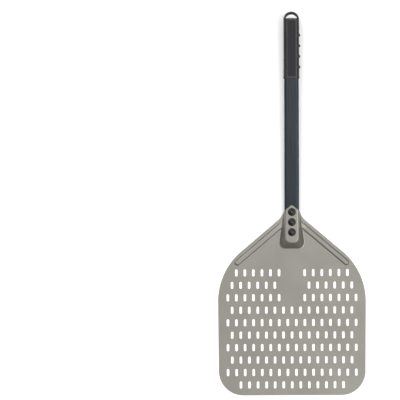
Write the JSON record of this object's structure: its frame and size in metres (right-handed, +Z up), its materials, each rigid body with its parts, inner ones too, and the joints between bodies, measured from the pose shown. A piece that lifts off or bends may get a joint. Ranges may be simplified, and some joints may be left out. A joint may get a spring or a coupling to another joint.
{
  "type": "pizza peel",
  "caption": "Perforated pizza peel: flat slotted blade pressed up over a riveted flat tube handle, with a moulded grip and a hanging eye.",
  "frame": {"origin": "middle of the peel's box in plan, on the plane that the blade's underside rests on", "axes": "+Y along the handle, away from the blade; +Z up, out of the blade's carrying face; +X towards the finger ridges' side of the grip"},
  "size_m": [0.3044, 0.79, 0.0402],
  "materials": {
    "sheet": "hard-anodised, satin",
    "tube": "black-anodised, satin",
    "grip": "moulded, finely textured faces",
    "rivet": "gloss black",
    "mandrel": "broken steel end"
  },
  "bodies": {
    "root": {"blade": "sheet", "handle_tube": "tube", "grip": "grip", "rivet_lower": "rivet", "rivet_middle": "rivet", "rivet_upper": "rivet", "mandrel_lower": "mandrel", "mandrel_middle": "mandrel", "mandrel_upper": "mandrel"}
  },
  "joints": []
}
